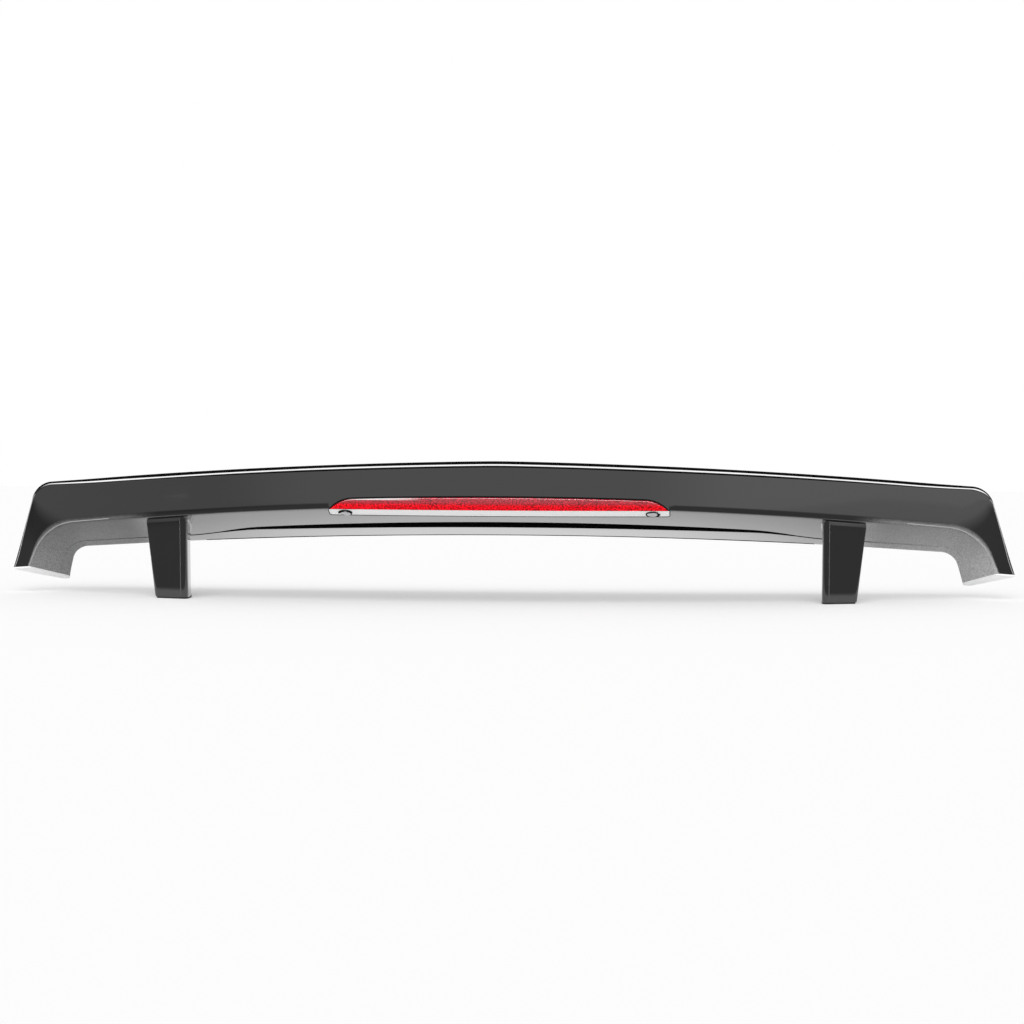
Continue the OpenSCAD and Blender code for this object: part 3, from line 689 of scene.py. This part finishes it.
past = calc(lens_tree, "MAXIMUM", calc(lens_tree, "SUBTRACT", away, g["Shoulder start"]), 0.0)
under_root = calc(lens_tree, "SUBTRACT", calc(lens_tree, "POWER", g["Shoulder radius"], 2.0),
                  calc(lens_tree, "POWER", past, 2.0))
shoulder = calc(lens_tree, "ADD", calc(lens_tree, "SQRT", calc(lens_tree, "MAXIMUM", under_root, 0.0)), g["Shoulder height"])
is_past = calc(lens_tree, "GREATER_THAN", past, 0.0)
roof = calc(lens_tree, "ADD", calc(lens_tree, "MULTIPLY", is_past, shoulder),
            calc(lens_tree, "MULTIPLY", calc(lens_tree, "SUBTRACT", 1.0, is_past), flat_top))
tall = calc(lens_tree, "MAXIMUM", calc(lens_tree, "SUBTRACT", roof, g["Lower edge"]), 0.0002)
round_r = calc(lens_tree, "MINIMUM", g["Edge round"], calc(lens_tree, "MULTIPLY", tall, 0.5))


def part_of(value, start, end):
    """How far value is from start to end, from 0 to 1."""
    node = lens_tree.nodes.new("ShaderNodeMapRange")
    link_in(lens_tree, node, Value=value, From_Min=start, From_Max=end)
    return node.outputs[0]


low_rim = part_of(share, 0.08, 0.0)
climb = part_of(share, 0.08, 0.6)
turn = calc(lens_tree, "MULTIPLY", part_of(share, 0.6, 0.9), math.pi / 2)
top_rim = part_of(share, 0.9, 1.0)
rim = calc(lens_tree, "MULTIPLY", calc(lens_tree, "ADD", low_rim, top_rim), g["Depth"])
curl = calc(lens_tree, "MULTIPLY", calc(lens_tree, "SUBTRACT", 1.0, calc(lens_tree, "COSINE", turn)), round_r)
inward = calc(lens_tree, "ADD", calc(lens_tree, "ADD", rim, curl), g["Setback"])
body_z = calc(lens_tree, "MULTIPLY", climb, calc(lens_tree, "SUBTRACT", tall, round_r))
round_z = calc(lens_tree, "MULTIPLY", calc(lens_tree, "SINE", turn), round_r)
lens_z = calc(lens_tree, "ADD", calc(lens_tree, "ADD", body_z, round_z), g["Lower edge"])
radius = calc(lens_tree, "SUBTRACT", g["Arc radius"], inward)
arc_y = calc(lens_tree, "SUBTRACT", g["Arc radius"], calc(lens_tree, "SQRT", calc(
    lens_tree, "SUBTRACT", calc(lens_tree, "POWER", radius, 2.0), calc(lens_tree, "POWER", along_x, 2.0))))
new_spot = lens_tree.nodes.new("ShaderNodeCombineXYZ")
link_in(lens_tree, new_spot, X=along_x, Y=calc(lens_tree, "ADD", arc_y, g["Shift"]), Z=lens_z)
bent = lens_tree.nodes.new("GeometryNodeSetPosition")
link_in(lens_tree, bent, Geometry=sheet.outputs["Mesh"], Position=new_spot.outputs[0])
soft = lens_tree.nodes.new("GeometryNodeSetShadeSmooth")
lens_tree.links.new(bent.outputs[0], soft.inputs[0])
close_tree(lens_tree, soft.outputs[0], lens_red, result)

GASKET_W = 1.8
inset = GASKET_W + 0.1
inner_r = SHOULDER_R - inset
lens_half = shoulder_x + math.sqrt(inner_r**2 - (LENS_Z + 0.3 - shoulder_z) ** 2)
lens = mesh_from_tree("lens_cover", lens_tree, Half_width=lens_half * MM, Lower_edge=(LENS_Z + 0.32) * MM,
                      Rise=(LAMP_RISE - inset) * MM, Shoulder_start=shoulder_x * MM, Shoulder_height=shoulder_z * MM,
                      Shoulder_radius=inner_r * MM, Arc_radius=LAMP_R * MM, Setback=0.5 * MM, Depth=3.5 * MM,
                      Edge_round=1.8 * MM, Shift=MID_Y * MM, Columns=320, Rows=28)
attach(lens, "root")
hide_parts("lamp_lens")
print("lens:", len(lens.data.polygons), "faces, half width", round(lens_half, 1), "mm")

# %% [markdown]
# Every other piece keeps its measured solid and only gets its finish: black rubber for the gasket, the
# washers and the grommet, white moulded plastic for the housing with its flange, plated metal for the
# screws, foam for the pads, and plain finishes for what is hidden behind the lens. The white plastic and
# the pale foam glow a little: painted light that keeps the flange and the fin pads white in the shade
# under the wing.

# %% Finishes of the measured pieces
black_rubber = new_material("black_rubber", (0.003, 0.003, 0.003), 0.7, Specular_IOR_Level=0.1)
# Painted light: the housing's white plastic glows a little, so the flange reads white in the shade under the wing.
white_plastic = new_material("white_plastic", (0.88, 0.88, 0.88), 0.3, Coat_Weight=0.3, Coat_Roughness=0.1,
                             Emission_Strength=0.22)
bright_metal = new_material("bright_metal", (0.85, 0.85, 0.86), 0.12, Metallic=1.0)
board_green = new_material("board_green", (0.02, 0.16, 0.06), 0.4)
diode_red = new_material("diode_red", (0.6, 0.02, 0.02), 0.2)
zinc = new_material("zinc", (0.72, 0.72, 0.74), 0.28, Metallic=1.0)
nylon = new_material("nylon", (0.78, 0.76, 0.7), 0.45)
brass = new_material("brass", (0.72, 0.5, 0.2), 0.3, Metallic=1.0)
black_foam = new_material("black_foam", (0.012, 0.012, 0.012), 0.9)
# Painted light: the pale foam glows a little, so the pads under the fins read white.
pale_foam = new_material("pale_foam", (0.9, 0.9, 0.9), 0.85, Emission_Strength=0.2)
add_bump(black_foam, 900, 0.4, 0.0003)
add_bump(pale_foam, 900, 0.4, 0.0003)
finishes = {
    "lamp_gasket": black_rubber, "wire_grommet": black_rubber, "lamp_washer_left": black_rubber,
    "lamp_washer_right": black_rubber, "lamp_housing": white_plastic, "lamp_reflector": bright_metal,
    "led_board": board_green, "leds": diode_red, "lamp_screw_left": zinc, "lamp_screw_right": zinc,
    "screw_anchor_left": nylon, "screw_anchor_right": nylon, "post_inserts_left": brass, "post_inserts_right": brass,
    "fin_insert_left": brass, "fin_insert_right": brass, "post_pad_left": black_foam, "post_pad_right": black_foam,
    "fin_pad_left": pale_foam, "fin_pad_right": pale_foam,
}
for node, material in finishes.items():
    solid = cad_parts[node]
    solid.data.materials.clear()
    solid.data.materials.append(material)
print(len(finishes), "measured pieces have a finish")

# %% [markdown]
# Thin lines draw the lamp and the posts. A black cord runs round the white flange where it meets the
# wing: painted shade for the dark gap there. Half a ring of the same black shows in each screw's recess:
# painted shade for the recess's dark rim. Grey cords run down each post where its rear face turns and
# along both edges of each fin's rear face: painted highlights for the light lines these edges show. All
# of them are a round cord along a path, so one tree makes them: it takes the path as edges and gives it
# a round section.

# %% Cords along a path
cord_tree = bpy.data.node_groups.new("cord_on_path", "GeometryNodeTree")
cord_tree.interface.new_socket("Path", in_out="INPUT", socket_type="NodeSocketGeometry")
thick = cord_tree.interface.new_socket("Radius", in_out="INPUT", socket_type="NodeSocketFloat")
around = cord_tree.interface.new_socket("Sides", in_out="INPUT", socket_type="NodeSocketInt")
finish = cord_tree.interface.new_socket("Finish", in_out="INPUT", socket_type="NodeSocketMaterial")
cord_tree.interface.new_socket("Geometry", in_out="OUTPUT", socket_type="NodeSocketGeometry")
given, result = cord_tree.nodes.new("NodeGroupInput"), cord_tree.nodes.new("NodeGroupOutput")
curve = cord_tree.nodes.new("GeometryNodeMeshToCurve")
ring = cord_tree.nodes.new("GeometryNodeCurvePrimitiveCircle")
tube = cord_tree.nodes.new("GeometryNodeCurveToMesh")
tube.inputs["Fill Caps"].default_value = True
soft = cord_tree.nodes.new("GeometryNodeSetShadeSmooth")
real = cord_tree.nodes.new("GeometryNodeRealizeInstances")
coat = cord_tree.nodes.new("GeometryNodeSetMaterial")
for source, target in ((given.outputs["Path"], curve.inputs[0]), (given.outputs["Radius"], ring.inputs["Radius"]),
                       (given.outputs["Sides"], ring.inputs["Resolution"]), (curve.outputs[0], tube.inputs["Curve"]),
                       (ring.outputs[0], tube.inputs["Profile Curve"]), (tube.outputs[0], soft.inputs[0]),
                       (soft.outputs[0], real.inputs[0]), (real.outputs[0], coat.inputs["Geometry"]),
                       (given.outputs["Finish"], coat.inputs["Material"]), (coat.outputs[0], result.inputs[0])):
    cord_tree.links.new(source, target)


def cord(name, points, radius, material, sides=8):
    """A round cord along points in millimetres, kept as a plain mesh."""
    data = bpy.data.meshes.new(name + "_path")
    data.from_pydata([placed(p) for p in points], [(k, k + 1) for k in range(len(points) - 1)], [])
    seed = bpy.data.objects.new(name + "_path", data)
    bpy.context.scene.collection.objects.link(seed)
    modifier = seed.modifiers.new("cord", "NODES")
    modifier.node_group = cord_tree
    modifier[thick.identifier] = radius * MM
    modifier[around.identifier] = sides
    modifier[finish.identifier] = material
    bpy.context.view_layer.update()
    mesh = bpy.data.meshes.new_from_object(seed.evaluated_get(bpy.context.evaluated_depsgraph_get()))
    seed.modifiers.clear()
    bpy.data.objects.remove(seed)
    mesh.name = name
    obj = bpy.data.objects.new(name, mesh)
    bpy.context.scene.collection.objects.link(obj)
    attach(obj, "root")
    return obj


def on_flange(x, v):
    """A point on the flange's outer face, v behind the rear edge."""
    return (x, rear_y(x) + v, LENS_Z - FLANGE_DROP * v / FLANGE_D)


# Painted shade: a black cord runs along both ends and the far edge of the flange, drawing the dark gap between the
# flange and the wing.
CORNER_R, BEAD_R = 4.0, 0.55
flange_half = LAMP_HALF - 0.3
edge = [on_flange(-flange_half, v) for v in np.linspace(0.5, FLANGE_D - CORNER_R, 6)]
edge += [on_flange(-flange_half + CORNER_R * (1 - math.cos(a)), FLANGE_D - CORNER_R + CORNER_R * math.sin(a))
         for a in np.linspace(0, math.pi / 2, 7)[1:]]
edge += [on_flange(x, FLANGE_D) for x in np.linspace(-flange_half + CORNER_R, 0, 40)[1:]]
edge += [(-x, y, z) for x, y, z in edge[-2::-1]]
shade_bead = cord("flange_bead", edge, BEAD_R, black_rubber)
print("flange bead:", len(shade_bead.data.polygons), "faces")

# Painted shade: half a black ring in each screw recess draws the recess's shadowed rim, toward the rear on the left and
# toward the front on the right.
SCREW_X, SCREW_V, RING_R, RING_DEEP = LAMP_HALF - 22.5, FLANGE_D / 2 - 0.4, 8.2, 5.6
for side, name in ((-1, "screw_ring_left"), (1, "screw_ring_right")):
    half_ring = [on_flange(side * SCREW_X + RING_R * math.cos(a), SCREW_V + side * RING_DEEP * math.sin(a))
                 for a in np.linspace(0, math.pi, 17)]
    cord(name, [(x, y, z - 0.9) for x, y, z in half_ring], 1.5, black_rubber)
print("screw rings at", SCREW_X, "mm from the middle")

# Painted highlights: grey cords where the posts' rear faces turn and along the edges of the fins' rear faces.
post_line = new_material("post_line", (0.10, 0.10, 0.10), 0.4)
edge_line = new_material("edge_line", (0.48, 0.48, 0.48), 0.4)
INNER_HIGHLIGHT_K, OUTER_HIGHLIGHT_K = len(post_loop(0, 0)) - 17, len(post_loop(0, 0)) - 28
for side, hand in ((-1, "left"), (1, "right")):
    for place_name, k in (("inner", INNER_HIGHLIGHT_K), ("outer", OUTER_HIGHLIGHT_K)):
        foot, neck = post_loop(0, 0)[k], post_loop(1, 0)[k]
        line = []
        for level in np.linspace(0.02, 0.98, 9):
            x, y = mix(foot, neck, level)
            line.append((side * x, y - 0.1, mix(PAD_T, under_z(neck[0], neck[1]) - 1.0, level)))
        cord("post_line_" + place_name + "_" + hand, line, 0.5, post_line)
    falling = [section(i) for i in np.linspace(WING + RUN + 7, WING + END, 30)]
    cord("fin_line_outer_" + hand, [(side * p[FACE_N - 1][0], p[FACE_N - 1][1] - 0.1, p[FACE_N - 1][2]) for p in falling],
         0.5, edge_line)
    turning = [section(i) for i in np.linspace(WING + 0.4, WING + END, 50)]
    cord("fin_line_inner_" + hand, [(side * p[-1][0], p[-1][1] - 0.1, p[-1][2]) for p in turning], 0.5, edge_line)
# The grey cords on the posts and fins are painted highlight lines.
print("parting lines on the posts and the fins")

# %% [markdown]
# Under each fin lies a pale foam pad that keeps the paint of the car from being rubbed. It has the outline
# of the fin's foot, is a little over two millimetres thick and is bevelled at its lower edge.

# %% Fin pads
PAD_DEEP, PAD_BEVEL = 2.3, 0.8
foot_line = [np.array(p) for p in section(WING + END)]
centre = sum(foot_line) / len(foot_line)
for side, name in ((-1, "fin_pad_left"), (1, "fin_pad_right")):
    rings = []
    for drop, inward in ((0.0, 0.0), (PAD_DEEP - PAD_BEVEL, 0.0), (PAD_DEEP, PAD_BEVEL)):
        ring = [p + inward * unit(centre - p) for p in foot_line]
        rings.append([placed((side * p[0], p[1], p[2] - drop)) for p in ring])
    verts, faces = loft(rings)
    pad = make_object(name + "_foam", verts, faces)
    pad.data.materials.append(pale_foam)
    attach(pad, "root")
    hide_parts(name)
print("pads:", PAD_DEEP, "mm thick")

# %% [markdown]
# A black mirror is drawn by its studio. The photograph shows a white floor and background, a thin bright
# line along the top edge from a long lamp above the camera, and an otherwise dark room. So the world is
# white for the camera and for mirrors, and a room that only mirrors see hangs around the object: dark all
# round, open to the white on the far side, with one long lamp and a pale strip of floor on the camera's
# side.


# %% The world and the room that the gloss mirrors
def smooth_window(tree, value, low_at, high_at, soft):
    """1 between two limits, with soft ends."""
    def edge(v, a, b):
        node = tree.nodes.new("ShaderNodeMapRange")
        node.interpolation_type = "SMOOTHSTEP"
        for label, amount in (("From Min", a), ("From Max", b)):
            node.inputs[label].default_value = amount
        tree.links.new(v, node.inputs["Value"])
        return node.outputs[0]
    return calc(tree, "MULTIPLY", edge(value, low_at - soft, low_at + soft), edge(value, high_at + soft, high_at - soft))


world = bpy.data.worlds.new("studio")
bpy.context.scene.world = world
world.use_nodes = True
tree = world.node_tree
sky = tree.nodes["Background"]
rays = tree.nodes.new("ShaderNodeLightPath")
AMBIENT = 0.55
seen = calc(tree, "MAXIMUM", calc(tree, "MAXIMUM", rays.outputs["Is Camera Ray"], rays.outputs["Is Glossy Ray"]),
            rays.outputs["Is Transmission Ray"])
sky.inputs["Color"].default_value = (1, 1, 1, 1)
tree.links.new(calc(tree, "MULTIPLY_ADD", seen, 1 - AMBIENT, AMBIENT), sky.inputs["Strength"])

ROOM_R = 9.0
room_data = bpy.data.meshes.new("dark_room")
shell = bmesh.new()
bmesh.ops.create_uvsphere(shell, u_segments=72, v_segments=36, radius=ROOM_R)
shell.to_mesh(room_data)
shell.free()
room = bpy.data.objects.new("dark_room", room_data)
bpy.context.scene.collection.objects.link(room)
room_look = bpy.data.materials.new("dark_room")
room_look.use_nodes = True
tree = room_look.node_tree
tree.nodes.clear()
out = tree.nodes.new("ShaderNodeOutputMaterial")
glow = tree.nodes.new("ShaderNodeEmission")
tree.links.new(glow.outputs[0], out.inputs["Surface"])
place = tree.nodes.new("ShaderNodeTexCoord")
axes = tree.nodes.new("ShaderNodeSeparateXYZ")
tree.links.new(place.outputs["Object"], axes.inputs[0])
lift = calc(tree, "MULTIPLY", calc(tree, "ARCSINE", calc(tree, "DIVIDE", axes.outputs["Z"], ROOM_R)), 180 / math.pi)
turn_out = calc(tree, "MULTIPLY", calc(tree, "ARCTAN2", axes.outputs["X"], calc(tree, "MULTIPLY", axes.outputs["Y"], -1.0)),
                180 / math.pi)
near = calc(tree, "LESS_THAN", axes.outputs["Y"], 0.0)
far = calc(tree, "SUBTRACT", 1.0, near)
turn_far = calc(tree, "MULTIPLY", calc(tree, "ARCTAN2", axes.outputs["X"], axes.outputs["Y"]), 180 / math.pi)
white_far = calc(tree, "MULTIPLY", calc(tree, "MULTIPLY", far, smooth_window(tree, lift, -90.0, 4.0, 1.0)),
                 smooth_window(tree, turn_far, -36.0, 36.0, 4.0))
outward = ranged(tree, calc(tree, "ABSOLUTE", turn_out), 34.0, 56.0, 0.0, 1.0)
over_low = calc(tree, "ADD", calc(tree, "MULTIPLY_ADD", outward, 8.0, -16.0), lift)
under_high = calc(tree, "SUBTRACT", calc(tree, "MULTIPLY_ADD", outward, -16.0, 35.0), lift)
lamp = calc(tree, "MULTIPLY", calc(tree, "MULTIPLY", ranged(tree, over_low, -2.0, 2.0, 0.0, 1.0),
                                   ranged(tree, under_high, -2.0, 2.0, 0.0, 1.0)),
            smooth_window(tree, turn_out, -72.0, 74.0, 8.0))
ahead = calc(tree, "MULTIPLY", near, smooth_window(tree, lift, -9.0, 3.0, 1.2))
side_on = calc(tree, "ADD", calc(tree, "MULTIPLY_ADD", smooth_window(tree, turn_out, 22.0, 80.0, 9.0), 0.24, 0.72),
               calc(tree, "MULTIPLY", smooth_window(tree, turn_out, -90.0, -38.0, 8.0), -0.2))
floor_far = calc(tree, "MULTIPLY", calc(tree, "MULTIPLY", ahead, side_on), smooth_window(tree, turn_out, -92.0, 86.0, 3.0))
total = calc(tree, "ADD", calc(tree, "ADD", white_far, calc(tree, "MULTIPLY", lamp, 11.0)), floor_far)
tree.links.new(calc(tree, "ADD", total, 0.01), glow.inputs["Strength"])
room_data.materials.append(room_look)
for ray in ("camera", "diffuse", "transmission", "volume_scatter", "shadow"):
    setattr(room, "visible_" + ray, False)
print("world ambient", AMBIENT, "and a room of radius", ROOM_R, "m for mirrors only")

# %% [markdown]
# The floor is a plain pale sheet. Away from the object the camera sees it as pure white; close to it, it
# darkens softly under the wing, because less of the lamp and of the room reaches it there. Mirrors see a
# painted glow on the sheet's camera side of the rear edge instead: 0.27, rising to 0.82 between 2.1 and
# 2.8 m from the middle, about a third dimmer left of 1.3 m, with a brighter strip along the rear edge.

# %% Floor
FLOOR_GLOW, FLOOR_TONE = 0.28, 0.74
floor = make_object("floor", [(-3.2, -2.6, 0), (3.2, -2.6, 0), (3.2, 4.2, 0), (-3.2, 4.2, 0)], [(0, 1, 2, 3)], recalc=False)
floor_look = bpy.data.materials.new("floor_sheet")
floor_look.use_nodes = True
tree = floor_look.node_tree
tree.nodes.clear()
out = tree.nodes.new("ShaderNodeOutputMaterial")
sheet_white = tree.nodes.new("ShaderNodeBsdfDiffuse")
sheet_white.inputs["Color"].default_value = (FLOOR_TONE, FLOOR_TONE, FLOOR_TONE, 1)
glow = tree.nodes.new("ShaderNodeEmission")
both = tree.nodes.new("ShaderNodeAddShader")
mirror_floor_glow = tree.nodes.new("ShaderNodeEmission")
choose = tree.nodes.new("ShaderNodeMixShader")
rays = tree.nodes.new("ShaderNodeLightPath")
place = tree.nodes.new("ShaderNodeTexCoord")
axes = tree.nodes.new("ShaderNodeSeparateXYZ")
tree.links.new(place.outputs["Object"], axes.inputs[0])
seen = calc(tree, "MAXIMUM", rays.outputs["Is Camera Ray"], rays.outputs["Is Glossy Ray"])
tree.links.new(calc(tree, "MULTIPLY", seen, FLOOR_GLOW), glow.inputs["Strength"])
tree.links.new(sheet_white.outputs[0], both.inputs[0])
tree.links.new(glow.outputs[0], both.inputs[1])
edge_bow = calc(tree, "MULTIPLY", calc(tree, "POWER", calc(tree, "ABSOLUTE", axes.outputs["X"]), 2.0), -REAR_SWEEP * MM / (HALF * MM) ** 2)
behind = calc(tree, "ADD", calc(tree, "ADD", axes.outputs["Y"], -MID_Y * MM), edge_bow)
near_side = smooth_window(tree, behind, -6.0, -0.02, 0.03)
near_strip = smooth_window(tree, behind, -0.06, 0.2, 0.02)
reach = calc(tree, "SQRT", calc(tree, "ADD", calc(tree, "POWER", calc(tree, "ABSOLUTE", axes.outputs["X"]), 2.0),
                                calc(tree, "POWER", calc(tree, "ABSOLUTE", axes.outputs["Y"]), 2.0)))
far_off = tree.nodes.new("ShaderNodeMapRange")
for label, value in (("From Min", 2.1), ("From Max", 2.8), ("To Min", 0.27), ("To Max", 0.82)):
    far_off.inputs[label].default_value = value
tree.links.new(reach, far_off.inputs["Value"])
left_dim = smooth_window(tree, axes.outputs["X"], -4.0, -1.3, 0.3)
base_glow = calc(tree, "MULTIPLY", far_off.outputs[0], calc(tree, "MULTIPLY_ADD", left_dim, -0.35, 1.0))
tree.links.new(calc(tree, "MULTIPLY_ADD", near_strip, 0.6, base_glow), mirror_floor_glow.inputs["Strength"])
tree.links.new(calc(tree, "MULTIPLY", near_side, rays.outputs["Is Glossy Ray"]), choose.inputs["Fac"])
tree.links.new(both.outputs[0], choose.inputs[1])
tree.links.new(mirror_floor_glow.outputs[0], choose.inputs[2])
tree.links.new(choose.outputs[0], out.inputs["Surface"])
floor.data.materials.append(floor_look)
print("floor sheet 6.4 x 6.8 m")

# %% [markdown]
# The light is that of a white tent: a wide soft source above and slightly behind the object, and the
# rest from all round. A sun lamp with a very large disc gives the same light all over the floor, and its
# shadows have no edge. It is left out of mirrors, because the room already holds the lamp that draws the
# bright line.

# %% Soft light
lamp_data = bpy.data.lights.new("overhead", "SUN")
lamp_data.angle = math.radians(42)
lamp_data.energy = 1.78
overhead = bpy.data.objects.new("overhead", lamp_data)
overhead.rotation_euler = (math.radians(46), 0, 0)
overhead.visible_glossy = False
bpy.context.scene.collection.objects.link(overhead)
print("overhead light", lamp_data.energy, "W per square metre")

# %% [markdown]
# The camera stands 3.6 m behind the object and a quarter of a metre to the right, at the height of a low
# tripod, with a long lens. Its turn, pitch and roll are written as angles, and its axes follow from them.

# %% Camera
YAW, PITCH, ROLL = 0.07328, -0.04485, 0.00285
ahead = Vector((-math.sin(YAW) * math.cos(PITCH), math.cos(YAW) * math.cos(PITCH), math.sin(PITCH)))
right = Vector((math.cos(YAW), math.sin(YAW), 0))
upward = Vector((math.sin(YAW) * math.sin(PITCH), -math.cos(YAW) * math.sin(PITCH), math.cos(PITCH)))
cam_x = right * math.cos(ROLL) + upward * math.sin(ROLL)
cam_y = upward * math.cos(ROLL) - right * math.sin(ROLL)
camera_data = bpy.data.cameras.new("camera")
camera_data.sensor_width = 36
camera_data.lens = 92.58
camera_data.clip_start, camera_data.clip_end = 0.05, 60
camera = bpy.data.objects.new("camera", camera_data)
turned = Matrix((cam_x, cam_y, -ahead)).transposed().to_4x4()
camera.matrix_world = Matrix.Translation((0.275456, -3.6099, 0.283)) @ turned
bpy.context.scene.collection.objects.link(camera)
bpy.context.scene.camera = camera
bpy.context.scene.view_settings.view_transform = "Standard"
print("camera looks along", [round(v, 3) for v in ahead])

# %% [markdown]
# Last, the script closes the scene.

# %% End
bpy.context.view_layer.update()
